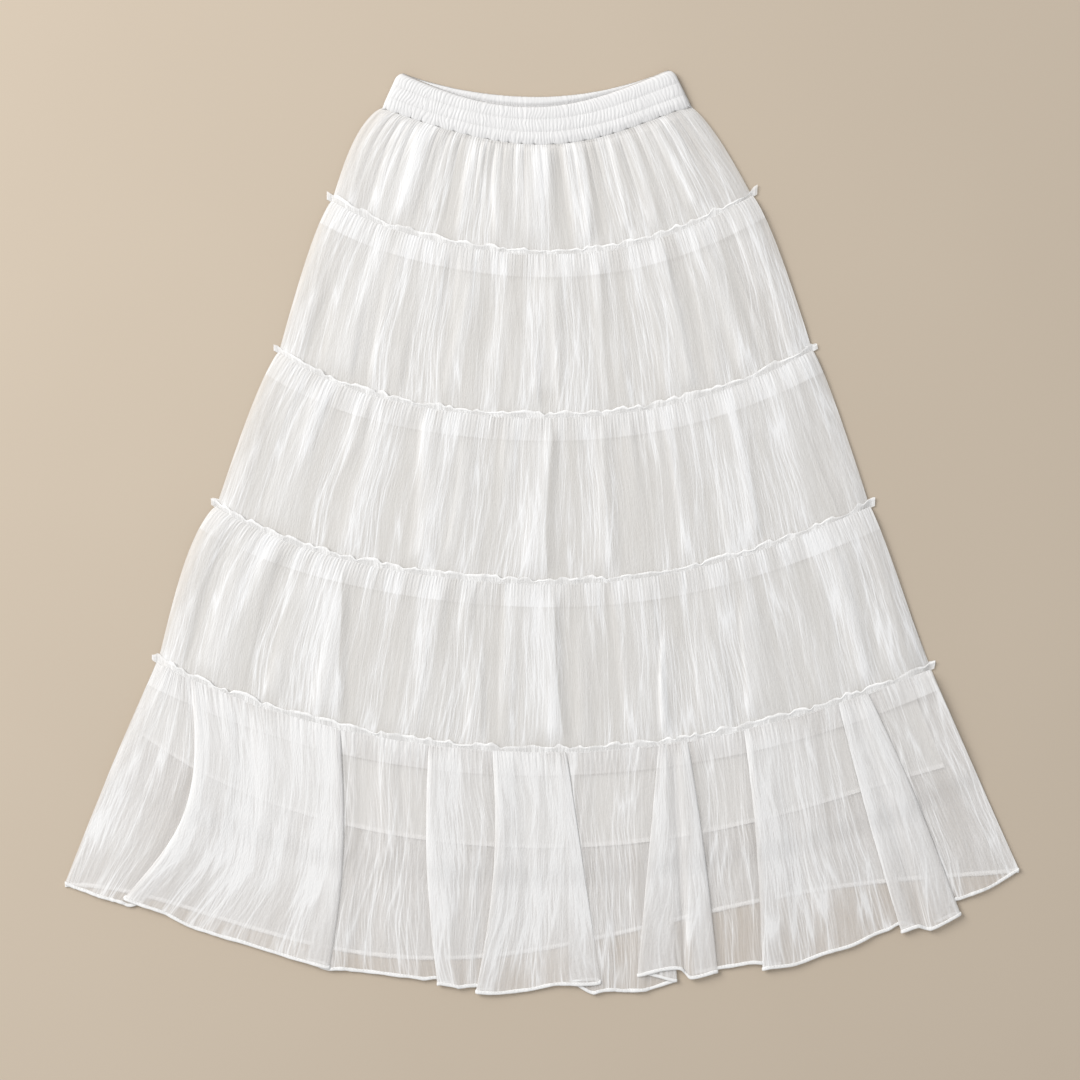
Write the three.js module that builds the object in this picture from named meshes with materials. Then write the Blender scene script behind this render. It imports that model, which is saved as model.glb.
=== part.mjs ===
// A tiered ruffle skirt laid flat: an elastic waistband, five gathered tiers and a plain lining.
// Millimetres, +Z up. The back lies on the surface at z = 0, and the waist points along +Y.
import * as THREE from "three";

// Thicknesses of the sewn cloth, and the gaps that keep its pieces apart
const CLOTH = 1.2;
const LINING_CLOTH = 1.0;
const HEADING_CLOTH = 1.0;
const HEM_ROLL = 0.5; // how much thicker the rolled hem is
const BAND = 2.6; // two layers of cloth over elastic
const LAYER_GAP = 0.3;
const SEAM_GAP = 0.6; // measured down the skirt, so that slanting ends stay clear as well

// Sewing allowances, measured down the skirt
const HEADING_HEIGHT = 5; // ruffled edge left above the gathering stitches
const HEADING_OVERHANG = 6; // how far each end of it sticks out past the side fold
const TUCKED_UNDER = 22; // lower edge of each tier, sewn behind the next one
const HEM_HEIGHT = 5;
const LINING_INSET = 17; // how much narrower the lining is at each side

// Heights of the layers where the skirt lies flat, to the middle of each wall
const BACK_Z = CLOTH / 2;
const LINING_BACK_Z = CLOTH + LAYER_GAP + LINING_CLOTH / 2;
const LINING_FRONT_Z = LINING_BACK_Z + LINING_CLOTH + LAYER_GAP;
const FRONT_Z = LINING_FRONT_Z + LINING_CLOTH / 2 + LAYER_GAP + CLOTH / 2;
const SIDE_Z = BACK_Z + CLOTH + LAYER_GAP; // the front at the side folds and below the lining
const OVER_STEP = CLOTH + LAYER_GAP; // a tier's top edge lies this much higher, over the tier above
const HEADING_STEP = OVER_STEP + 0.2; // and the ruffled edge above it lies a little higher still
const SIDE_SLOPE = 16; // width over which the front slopes down to each side fold
const PLEAT_LAYER = 2.0; // from one layer of a laid pleat to the next

// Lines across the skirt, from the waist down: where each meets the side folds, and how far its
// middle hangs below the straight line between those ends, on the front and on the back.
const LINES = {
  bandTop: { leftX: -138, leftY: 440, rightX: 128, rightY: 442, frontSag: 31, backSag: 22 },
  waist: { leftX: -153, leftY: 405, rightX: 144, rightY: 408, frontSag: 37, backSag: 28 },
  seam1: { leftX: -201, leftY: 317, rightX: 200, rightY: 321, frontSag: 52, backSag: 38 },
  seam2: { leftX: -252, leftY: 172, rightX: 259, rightY: 174, frontSag: 61, backSag: 40 },
  seam3: { leftX: -311, leftY: 26, rightX: 315, rightY: 25, frontSag: 72, backSag: 44 },
  seam4: { leftX: -369, leftY: -124, rightX: 373, rightY: -130, frontSag: 83, backSag: 48 },
  hem: { leftX: -459, leftY: -339, rightX: 460, rightY: -324, frontSag: 110, backSag: 74 },
  liningHem: { leftX: -385, leftY: -192, rightX: 390, rightY: -224, frontSag: 98, backSag: 94 },
};

// The tiers: their lines, how far their sides swell out, and their soft folds. wander sets where
// the folds' spacing is wide or narrow, and height is that of the tallest fold.
const TIERS = [
  { top: "waist", bottom: "seam1", bulge: 9, folds: 10, wander: 0.3, height: 2.8 },
  { top: "seam1", bottom: "seam2", bulge: 4, folds: 12, wander: 0.55, height: 2.4 },
  { top: "seam2", bottom: "seam3", bulge: 4, folds: 13, wander: 0.8, height: 2.4 },
  { top: "seam3", bottom: "seam4", bulge: 4, folds: 14, wander: 0.15, height: 2.6 },
  { top: "seam4", bottom: "hem", bulge: 0 },
];
const BOTTOM_TIER = 4;

// Rows of the four upper fronts. over is 1 where the row lies on the tier above, and fullness is
// the share of the folds' height.
const GATHERED_ROWS = [
  { down: 0, fullness: 0.5, over: 1 },
  { down: 0.17, fullness: 0.7, over: 1 },
  { down: 0.27, fullness: 1, over: 0 },
  { down: 0.62, fullness: 0.9, over: 0 },
  { down: 0.84, fullness: 0, over: 0 },
];
const COLUMNS_PER_FOLD = 3;

// Laid pleats of the bottom tier, left to right. edgeTop and edgeHem are where the folded edge
// starts and ends, bow is how far it strays to the right half way down, faces is the way the folded
// edge points, and tuck is the cloth hidden under it at the seam and at the hem. rise lifts the hem.
const PLEATS = [
  { edgeTop: -337, edgeHem: -399, bow: 38, faces: "left", tuckTop: 3, tuckHem: 16, rise: 2 },
  { edgeTop: -193, edgeHem: -204, bow: 8, faces: "right", tuckTop: 4, tuckHem: 20, rise: 6 },
  { edgeTop: -108, edgeHem: -100, bow: -6, faces: "left", tuckTop: 3, tuckHem: 12, rise: 0 },
  { edgeTop: -47, edgeHem: -62, bow: 9, faces: "left", tuckTop: 4, tuckHem: 14, rise: -4 },
  { edgeTop: 27, edgeHem: 58, bow: 0, faces: "right", tuckTop: 4, tuckHem: 22, rise: 3 },
  { edgeTop: 111, edgeHem: 92, bow: 0, faces: "left", tuckTop: 4, tuckHem: 16, rise: 8 },
  { edgeTop: 149, edgeHem: 170, bow: 0, faces: "right", tuckTop: 4, tuckHem: 18, rise: 6 },
  { edgeTop: 195, edgeHem: 211, bow: 3, faces: "left", tuckTop: 3, tuckHem: 16, rise: -2 },
  { edgeTop: 276, edgeHem: 343, bow: -2, faces: "left", tuckTop: 3, tuckHem: 12, rise: -6 },
  { edgeTop: 313, edgeHem: 402, bow: 2, faces: "right", tuckTop: 4, tuckHem: 18, rise: -8 },
];
const PAST_TUCK = 4; // how far past the hidden turn the upper layer starts to come down
const SOFT_WAVES = [1.4, 0.2, 1.4]; // heights of the loose cloth between two pleats
const PLEATED_ROWS = [0, 0.11, 0.17, 0.48, 0.56, 0.8];
const LAST_OVER = 1; // the last of these rows that lies on tier four, and the last on the lining
const LAST_ON_LINING = 3;

// Ruffle waves along each heading, and the ribs and channels of the shirred band
const HEADING_WAVES = [17, 20, 23, 26];
const HEADING_WAVE_Z = 2.0;
const HEADING_WAVE_Y = 0.9;
const BAND_RIBS = 22;
const BAND_CHANNELS = 3;
const CHANNEL_PUFF = 1.5;
const RIB_PUFF = 0.8;

const WHITE_CLOTH = { color: 0xf2f1ef, roughness: 0.85, metalness: 0 };
const LINING_WHITE = { color: 0xeceae6, roughness: 0.9, metalness: 0 };

const mix = (a, b, t) => a + (b - a) * t;
const clamp01 = (t) => Math.min(1, Math.max(0, t));
const smooth = (t) => clamp01(t) ** 2 * (3 - 2 * clamp01(t));
const steps = (count) => Array.from({ length: count + 1 }, (_, i) => i / count);

// A point on a line. u runs from the left side fold, 0, to the right one, 1.
function onLine(line, u, side) {
  const sag = side === "front" ? line.frontSag : line.backSag;
  return {
    x: mix(line.leftX, line.rightX, u),
    y: mix(line.leftY, line.rightY, u) - sag * 4 * u * (1 - u),
  };
}

// A point between two lines: down is 0 at the upper one and 1 at the lower one.
function between(top, bottom, u, down, side, bulge = 0) {
  const a = onLine(top, u, side);
  const b = onLine(bottom, u, side);
  const swell = bulge * Math.sin(Math.PI * down ** 0.7) * (2 * u - 1);
  return { x: mix(a.x, b.x, down) + swell, y: mix(a.y, b.y, down) };
}

const linesOf = (index) => [LINES[TIERS[index].top], LINES[TIERS[index].bottom]];
const lengthOf = (index) => linesOf(index)[0].leftY - linesOf(index)[1].leftY;

function onTier(index, u, down, side) {
  const [top, bottom] = linesOf(index);
  return between(top, bottom, u, down, side, TIERS[index].bulge);
}

function tierWidth(index, down) {
  return onTier(index, 1, down, "front").x - onTier(index, 0, down, "front").x;
}

// Height of the front, which slopes down to the side folds.
function slopedHeight(fromSide, flatZ) {
  return mix(SIDE_Z, flatZ, clamp01(fromSide / SIDE_SLOPE));
}

// A wall of cloth about rows of middle points. The rows run down the skirt and their points run
// across it. Each point is moved half a thickness both ways, square to its row, and a point's
// lift raises the outer face alone.
function clothWall(rows, thickness) {
  const across = rows[0].length;
  const outer = [];
  const inner = [];
  for (const row of rows) {
    row.forEach((point, i) => {
      const before = row[Math.max(i - 1, 0)];
      const after = row[Math.min(i + 1, across - 1)];
      const dx = after.x - before.x;
      const dz = after.z - before.z;
      const half = thickness / 2 / Math.hypot(dx, dz);
      outer.push(point.x - dz * half, point.y, point.z + dx * half + (point.lift ?? 0));
      inner.push(point.x + dz * half, point.y, point.z - dx * half);
    });
  }
  const innerFirst = rows.length * across;
  const lastRow = rows.length - 1;
  const lastColumn = across - 1;
  const out = (r, c) => r * across + c;
  const inn = (r, c) => innerFirst + r * across + c;
  const faces = [];
  const quad = (a, b, c, d) => faces.push(a, b, c, a, c, d);
  for (let r = 0; r < lastRow; r++) {
    for (let c = 0; c < lastColumn; c++) {
      quad(out(r, c), out(r + 1, c), out(r + 1, c + 1), out(r, c + 1));
      quad(inn(r, c), inn(r, c + 1), inn(r + 1, c + 1), inn(r + 1, c));
    }
    quad(out(r + 1, 0), out(r, 0), inn(r, 0), inn(r + 1, 0));
    quad(out(r, lastColumn), out(r + 1, lastColumn), inn(r + 1, lastColumn), inn(r, lastColumn));
  }
  for (let c = 0; c < lastColumn; c++) {
    quad(out(0, c), out(0, c + 1), inn(0, c + 1), inn(0, c));
    quad(out(lastRow, c + 1), out(lastRow, c), inn(lastRow, c), inn(lastRow, c + 1));
  }
  const geometry = new THREE.BufferGeometry();
  geometry.setAttribute("position", new THREE.Float32BufferAttribute([...outer, ...inner], 3));
  geometry.setIndex(faces);
  geometry.computeVertexNormals();
  return geometry;
}

function sewnPiece(name, geometry, look) {
  const mesh = new THREE.Mesh(geometry, new THREE.MeshStandardMaterial(look));
  mesh.name = name;
  return mesh;
}

// How many folds lie left of t. The spacing wanders, so that no two folds are alike.
function foldsLeftOf(t, tier) {
  const wave = (turns, shift) => Math.sin(2 * Math.PI * (turns * t + shift)) - Math.sin(2 * Math.PI * shift);
  return tier.folds * t + 0.35 * wave(2, tier.wander) + 0.12 * wave(5, 2 * tier.wander);
}

// Where the columns of a gathered front stand, with as many to a wide fold as to a narrow one.
function foldColumns(tier) {
  const total = foldsLeftOf(1, tier);
  return steps(tier.folds * COLUMNS_PER_FOLD).map((share) => {
    let low = 0;
    let high = 1;
    for (let i = 0; i < 40; i++) {
      const middle = (low + high) / 2;
      if (foldsLeftOf(middle, tier) < share * total) low = middle;
      else high = middle;
    }
    return high;
  });
}

// Height of a soft fold from 0 to 1: rounded crests, some taller than others.
function softFold(t, tier) {
  const crest = 0.5 - 0.5 * Math.cos((2 * Math.PI * foldsLeftOf(t, tier) * tier.folds) / foldsLeftOf(1, tier));
  return crest * (0.68 + 0.32 * Math.sin(2 * Math.PI * (2.6 * t + 3 * tier.wander)));
}

// Each of the four upper fronts: folds that start at the gathers, swell and die out above the next
// seam, and a lower edge that lies behind the next tier.
function gatheredFront(index) {
  const tier = TIERS[index];
  const columns = foldColumns(tier);
  const across = (width) => [
    { u: 0, t: 0 },
    ...columns.map((t) => ({ u: mix(SIDE_SLOPE, width - SIDE_SLOPE, t) / width, t })),
    { u: 1, t: 1 },
  ];
  const rowOf = (tierIndex, down, fullness, over) => {
    const width = tierWidth(tierIndex, down);
    return across(width).map(({ u, t }) => ({
      ...onTier(tierIndex, u, down, "front"),
      z: slopedHeight(Math.min(u, 1 - u) * width, FRONT_Z) + over + tier.height * fullness * softFold(t, tier),
    }));
  };
  const rows = GATHERED_ROWS.map(({ down, fullness, over }) => {
    const start = index === 0 && down === 0 ? SEAM_GAP / lengthOf(index) : down;
    return rowOf(index, start, fullness, index === 0 ? 0 : over * OVER_STEP);
  });
  const seam = rowOf(index + 1, 0, 0, 0);
  const hidden = rowOf(index + 1, TUCKED_UNDER / lengthOf(index + 1), 0, 0);
  return clothWall([...rows, seam, hidden], CLOTH);
}

// A flat panel between two lines. from and to are distances down from the upper line and up from
// the lower one.
function flatPanel(top, bottom, side, z, thickness, options = {}) {
  const { from = SEAM_GAP, to = 0, inset = 0, columns = 16, rowCount = 2 } = options;
  const length = top.leftY - bottom.leftY;
  const rows = steps(rowCount).map((share) => {
    const down = mix(from / length, 1 - to / length, share);
    const width = mix(top.rightX - top.leftX, bottom.rightX - bottom.leftX, down);
    return steps(columns).map((t) => {
      const u = mix(inset / width, 1 - inset / width, t);
      return { ...between(top, bottom, u, down, side), z };
    });
  });
  return clothWall(rows, thickness);
}

// Stations through one laid pleat, left to right. level counts the layers of cloth below.
function pleatStations(pleat, down) {
  const turn = PLEAT_LAYER / 2;
  const edge = mix(pleat.edgeTop, pleat.edgeHem, down) + pleat.bow * Math.sin(Math.PI * down);
  const tuck = mix(pleat.tuckTop, pleat.tuckHem, down);
  const inward = pleat.faces === "left" ? 1 : -1;
  const stations = [
    { in: tuck - turn, level: 0, rise: 0 },
    { in: tuck + turn * 0.3, level: 0.5, rise: 0 },
    { in: tuck - turn, level: 1, rise: 0.3 },
    { in: turn * 1.3, level: 1, rise: 0.7 },
    { in: 0, level: 1.5, rise: 0.9 },
    { in: turn * 1.3, level: 2, rise: 1 },
    { in: tuck + PAST_TUCK, level: 2, rise: 1 },
  ].map((station) => ({
    x: edge + inward * station.in,
    level: station.level,
    rise: pleat.rise * station.rise,
    wave: 0,
  }));
  return pleat.faces === "left" ? stations : stations.reverse();
}

// Stations right across the bottom tier, with loose cloth between the pleats. The loose cloth
// sinks in its middle, whatever lies on either side.
function pleatedStations(down) {
  const left = onTier(BOTTOM_TIER, 0, down, "front").x;
  const right = onTier(BOTTOM_TIER, 1, down, "front").x;
  const side = (x) => ({ x, level: 0, rise: 0, wave: 0 });
  const groups = [
    [side(left), side(left + SIDE_SLOPE)],
    ...PLEATS.map((pleat) => pleatStations(pleat, down)),
    [side(right - SIDE_SLOPE), side(right)],
  ];
  const all = [...groups[0]];
  for (const group of groups.slice(1)) {
    const before = all[all.length - 1];
    const after = group[0];
    SOFT_WAVES.forEach((wave, i) => {
      const t = (i + 1) / (SOFT_WAVES.length + 1);
      const sunk = 1 - 0.75 * Math.sin(Math.PI * t);
      all.push({
        x: mix(before.x, after.x, t),
        level: mix(before.level, after.level, smooth(t)) * sunk,
        rise: mix(before.rise, after.rise, t),
        wave,
      });
    });
    all.push(...group);
  }
  return all.map((station) => ({ ...station, u: (station.x - left) / (right - left) }));
}

// One row of the bottom tier. It lies over tier four at the seam, then on the lining, and below
// the lining's hem it lies on the back.
function pleatedRow(down) {
  const width = tierWidth(BOTTOM_TIER, down);
  const over = down <= PLEATED_ROWS[LAST_OVER] ? OVER_STEP : 0;
  const flatZ = down <= PLEATED_ROWS[LAST_ON_LINING] ? FRONT_Z : SIDE_Z;
  return pleatedStations(down).map(({ x, u, level, rise, wave }) => ({
    x,
    y: onTier(BOTTOM_TIER, u, down, "front").y + rise * down ** 3,
    z: slopedHeight(Math.min(u, 1 - u) * width, flatZ) + over + level * PLEAT_LAYER + wave,
  }));
}

function bottomTierFront() {
  const hem = pleatedRow(1);
  const raised = (row, up, lift) => row.map((point) => ({ ...point, y: point.y + up, lift }));
  const hemRows = [raised(hem, HEM_HEIGHT, 0), raised(hem, HEM_HEIGHT - 1, HEM_ROLL), raised(hem, 0, HEM_ROLL)];
  return clothWall([...PLEATED_ROWS.map(pleatedRow), ...hemRows], CLOTH);
}

// The ruffled edge above the gathering stitches: it lies on the tier above and its free edge waves.
function frontHeading(index) {
  const line = LINES[TIERS[index].bottom];
  const width = line.rightX - line.leftX;
  const pointsPerWave = 2;
  const waves = HEADING_WAVES[index];
  const xs = [
    line.leftX - HEADING_OVERHANG,
    line.leftX,
    ...steps(waves * pointsPerWave).map((t) => mix(line.leftX + SIDE_SLOPE, line.rightX - SIDE_SLOPE, t)),
    line.rightX,
    line.rightX + HEADING_OVERHANG,
  ];
  const row = (height, wavy) => xs.map((x, i) => {
    const u = (x - line.leftX) / width;
    const fromSide = Math.min(u, 1 - u) * width;
    const swing = wavy * (i % 2 === 0 ? 1 : -1);
    return {
      x,
      y: onLine(line, u, "front").y + height + HEADING_WAVE_Y * swing,
      z: slopedHeight(fromSide, FRONT_Z) + HEADING_STEP + HEADING_WAVE_Z * 0.5 * (wavy + swing),
    };
  });
  return clothWall([row(HEADING_HEIGHT, 1), row(SEAM_GAP, 0)], HEADING_CLOTH);
}

// The same edge on the back, pressed flat between the tier above and the tier below.
function backHeading(index) {
  const line = LINES[TIERS[index].bottom];
  const overhang = HEADING_OVERHANG / (line.rightX - line.leftX);
  const row = (height) => steps(16).map((t) => {
    const spot = onLine(line, mix(-overhang, 1 + overhang, t), "back");
    return { x: spot.x, y: spot.y + height, z: BACK_Z };
  });
  return clothWall([row(HEADING_HEIGHT), row(SEAM_GAP)], CLOTH);
}

// The shirred front of the band: channels of elastic puff its outer face, and gathers rib it.
function frontBand() {
  const rowsPerChannel = 2;
  const columns = steps(BAND_RIBS * 2);
  const rows = steps(BAND_CHANNELS * rowsPerChannel).map((down, r) => columns.map((u, c) => {
    const puff = r % rowsPerChannel;
    const rib = c % 2 === 1 ? 0.4 + 0.6 * puff : 0.25 * puff;
    return {
      ...between(LINES.bandTop, LINES.waist, u, down, "front"),
      z: BAND * 1.5 + LAYER_GAP,
      lift: CHANNEL_PUFF * puff + RIB_PUFF * rib,
    };
  }));
  return clothWall(rows, BAND);
}

const skirt = new THREE.Group();
const flatBand = flatPanel(LINES.bandTop, LINES.waist, "back", BAND / 2, BAND, { from: 0, columns: 20 });
skirt.add(sewnPiece("waistband_front", frontBand(), WHITE_CLOTH));
skirt.add(sewnPiece("waistband_back", flatBand, WHITE_CLOTH));

TIERS.forEach((tier, i) => {
  const number = i + 1;
  const isBottom = i === BOTTOM_TIER;
  const to = isBottom ? 0 : HEADING_HEIGHT + SEAM_GAP;
  const back = flatPanel(...linesOf(i), "back", BACK_Z, CLOTH, { to });
  const front = isBottom ? bottomTierFront() : gatheredFront(i);
  skirt.add(sewnPiece(`tier_${number}_front`, front, WHITE_CLOTH));
  skirt.add(sewnPiece(`tier_${number}_back`, back, WHITE_CLOTH));
  if (isBottom) return;
  skirt.add(sewnPiece(`heading_${number}_front`, frontHeading(i), WHITE_CLOTH));
  skirt.add(sewnPiece(`heading_${number}_back`, backHeading(i), WHITE_CLOTH));
});

for (const [side, z] of [["front", LINING_FRONT_Z], ["back", LINING_BACK_Z]]) {
  const cut = { from: 2 * SEAM_GAP, inset: LINING_INSET, rowCount: 5, columns: 12 };
  const panel = flatPanel(LINES.waist, LINES.liningHem, side, z, LINING_CLOTH, cut);
  skirt.add(sewnPiece(`lining_${side}`, panel, LINING_WHITE));
}

export default skirt;
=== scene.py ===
"""A white tiered ruffle skirt, laid flat on its back and seen from straight above.

Sizes are in millimetres until a mesh is made. +Y runs from the hem to the waist, and +Z is up
off the surface the skirt lies on.
"""
import math

import bpy
import numpy as np
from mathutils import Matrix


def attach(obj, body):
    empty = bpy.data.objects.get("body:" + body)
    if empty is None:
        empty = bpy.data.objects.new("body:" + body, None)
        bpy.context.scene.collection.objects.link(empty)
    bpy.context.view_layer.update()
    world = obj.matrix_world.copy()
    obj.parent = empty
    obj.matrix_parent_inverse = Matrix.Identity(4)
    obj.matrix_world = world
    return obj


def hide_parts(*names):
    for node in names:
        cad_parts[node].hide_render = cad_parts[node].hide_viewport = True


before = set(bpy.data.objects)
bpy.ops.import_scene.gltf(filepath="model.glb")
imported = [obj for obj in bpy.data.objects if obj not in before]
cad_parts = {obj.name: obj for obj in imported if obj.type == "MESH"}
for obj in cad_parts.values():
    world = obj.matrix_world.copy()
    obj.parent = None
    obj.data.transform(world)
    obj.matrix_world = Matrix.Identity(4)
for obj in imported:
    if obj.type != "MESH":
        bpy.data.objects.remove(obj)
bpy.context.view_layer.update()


# Back of the tiers
# Five bands of crinkled sheer cloth, each gathered on to the one above a few millimetres below
# its own top edge. The back lies on the surface under everything else, pressed nearly flat.

BACK_LINES = [  # left end, right end, then six evenly spaced heights
    (-153, 144, (405, 388, 379, 379, 389, 408)),
    (-201, 200, (317, 294, 282, 283, 296, 321)),
    (-252, 259, (172, 148, 135, 135, 149, 174)),
    (-311, 315, (26, -2, -16, -16, -3, 25)),
    (-369, 373, (-124, -156, -173, -174, -160, -130)),
    (-457, 458, (-339, -381, -409, -381, -342, -325)),
]
BACK_HEIGHT = 0.9  # above the surface
BACK_FULLNESS = 1.2  # cloth across the back for each mm laid
HEADING_HEIGHT = 5
HEADING_OVERHANG = 5  # how far a heading stands out past the side folds


def read_line(line, s):
    """x and y of a line across the skirt: x goes straight from its left end to its right end as
    s goes from 0 to 1, and y is the fifth-degree curve through its six heights."""
    left, right, heights = line
    curve = np.polynomial.Polynomial.fit(np.linspace(0, 1, 6), heights, 5)
    return left + (right - left) * s, curve(s)


def fan(top, bottom, s, t, swell=(0, 0)):
    """x and y between two lines, t from 0 at the upper to 1 at the lower. Each thread runs
    straight from one line to the other. The sides swell out by a half sine, fullest above the
    middle, that dies out inwards by the fourth power."""
    (xa, ya), (xb, yb) = read_line(top, s), read_line(bottom, s)
    sideways = swell[1] * s**4 - swell[0] * (1 - s) ** 4
    x = xa + (xb - xa) * t + sideways * np.sin(np.pi * np.clip(t, 0, 1) ** 0.6)
    return x, ya + (yb - ya) * t


def smooth(t):
    """3t^2 - 2t^3, with t held between 0 and 1."""
    t = np.clip(t, 0, 1)
    return t * t * (3 - 2 * t)


def wandering(across, down, seed):
    """Smooth noise from -1 to 1: a random number at each whole-number crossing of across and
    down, joined by smooth steps both ways."""
    across, down = np.broadcast_arrays(across, down)
    i, j = np.floor(across).astype(int), np.floor(down).astype(int)
    i0, j0 = i.min(), j.min()
    corners = np.random.default_rng(seed).uniform(-1, 1, (j.max() - j0 + 2, i.max() - i0 + 2))
    a, b = smooth(across - i), smooth(down - j)
    i, j = i - i0, j - j0
    upper = corners[j, i] * (1 - a) + corners[j, i + 1] * a
    lower = corners[j + 1, i] * (1 - a) + corners[j + 1, i + 1] * a
    return upper * (1 - b) + lower * b


def crease_lines(across, down, seed, sharp=5):
    """Thin branching ridges, 1 along the lines where the noise crosses zero and falling off to
    each side by the power sharp."""
    return (1 - np.abs(wandering(across, down, seed))) ** sharp


def crinkles(across, down, seed):
    """(height in mm, share from 0 to 1) of the crinkles set in the cloth: long, short and fine
    crease lines, running down the cloth at small angles to each other, leaning one way or the
    other from place to place and crowding together in streaks."""
    lean = 0.13 * wandering(across / 80, 0 * down, seed + 5)
    bent = across + lean * np.clip(down - 75, -75, 75) + 0.8 * wandering(across / 30, down / 50, seed)
    crowd = smooth(0.5 + 0.9 * wandering(bent / 17, down / 150, seed + 4))
    long = crease_lines((bent + 0.05 * down) / 9.0, down / 120, seed + 1, 12)
    short = crease_lines((bent - 0.07 * down) / 4.8, down / 70, seed + 2, 8)
    fine = crease_lines(bent / 2.6, down / 30, seed + 3)
    height = 0.17 * long + (0.04 + 0.12 * crowd) * short + 0.03 * fine
    share = (0.15 + 0.85 * crowd) * (0.35 * long + 0.25 * short + 0.1 * fine) + 0.26 * crowd
    return height, share


def grid_quads(at):
    """The quads between neighbouring rows and columns of a grid of point numbers."""
    return np.stack([at[:-1, :-1], at[1:, :-1], at[1:, 1:], at[:-1, 1:]], axis=-1).reshape(-1, 4)


def sew(name, points, faces, across, down, paleness):
    """A smooth cloth object of these points, in mm, and faces. Its UV map holds each point's
    place on the cloth in metres, and an attribute how pale and opaque the cloth is drawn there:
    from its creases, gathers and layers lying double, and in places from painted highlight and
    painted shade."""
    mesh = bpy.data.meshes.new(name)
    mesh.from_pydata(points.reshape(-1, 3) / 1000, [], faces)
    mesh.shade_smooth()
    corner = np.empty(len(mesh.loops), dtype=np.int32)
    mesh.loops.foreach_get("vertex_index", corner)
    place = np.stack([across, down], axis=-1).reshape(-1, 2)[corner] / 1000
    mesh.uv_layers.new(name="cloth").data.foreach_set("uv", place.astype(np.float32).ravel())
    pale_share = mesh.attributes.new("cloth_paleness", "FLOAT", "POINT")
    pale_share.data.foreach_set("value", np.clip(paleness, 0, 1).astype(np.float32).ravel())
    cloth = bpy.data.objects.new(name, mesh)
    bpy.context.scene.collection.objects.link(cloth)
    return cloth


def lay_cloth(name, x, y, z, across, down, paleness):
    """A sheet of cloth through a grid of points, rows down the skirt and columns across it."""
    x, y, z, across, down, paleness = np.broadcast_arrays(x, y, z, across, down, paleness)
    quads = grid_quads(np.arange(x.size).reshape(x.shape))
    return sew(name, np.stack([x, y, z], axis=-1), quads, across, down, paleness)


class Wire:
    """A node's output. Arithmetic on wires and numbers adds Math nodes."""

    def __init__(self, finish, socket):
        self.finish, self.socket = finish, socket

    def math(self, operation, *values):
        return self.finish.add("ShaderNodeMath", {"operation": operation}, dict(enumerate(values)))

    def __add__(self, other):
        return self.math("ADD", self, other)

    def __radd__(self, other):
        return self.math("ADD", other, self)

    def __sub__(self, other):
        return self.math("SUBTRACT", self, other)

    def __rsub__(self, other):
        return self.math("SUBTRACT", other, self)

    def __mul__(self, other):
        return self.math("MULTIPLY", self, other)

    def __rmul__(self, other):
        return self.math("MULTIPLY", other, self)

    def __pow__(self, other):
        return self.math("POWER", self, other)

    def held(self):
        """The value held between 0 and 1."""
        return self.finish.add("ShaderNodeClamp", {}, {"Value": self})


class Finish:
    """A material being made: add() makes one node from its settings and its sockets' values."""

    def __init__(self, name):
        self.material = bpy.data.materials.new(name)
        self.material.use_nodes = True
        self.tree = self.material.node_tree
        self.tree.nodes.clear()

    def add(self, kind, settings, sockets, output=0):
        """A new node of this kind. A socket's value is a number, a colour or a wire."""
        node = self.tree.nodes.new(kind)
        for key, value in settings.items():
            setattr(node, key, value)
        for key, value in sockets.items():
            if isinstance(value, Wire):
                self.tree.links.new(value.socket, node.inputs[key])
            else:
                node.inputs[key].default_value = value
        return Wire(self, node.outputs[output])

    def blend(self, share, first, second):
        """A colour that goes from first to second as share goes from 0 to 1."""
        return self.add(
            "ShaderNodeMix", {"data_type": "RGBA"}, {0: share, 6: first, 7: second}, output=2)

    def show(self, shader):
        """The finished material, with this shader on the surface."""
        out = self.tree.nodes.new("ShaderNodeOutputMaterial")
        self.tree.links.new(shader.socket, out.inputs["Surface"])
        return self.material


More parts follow.
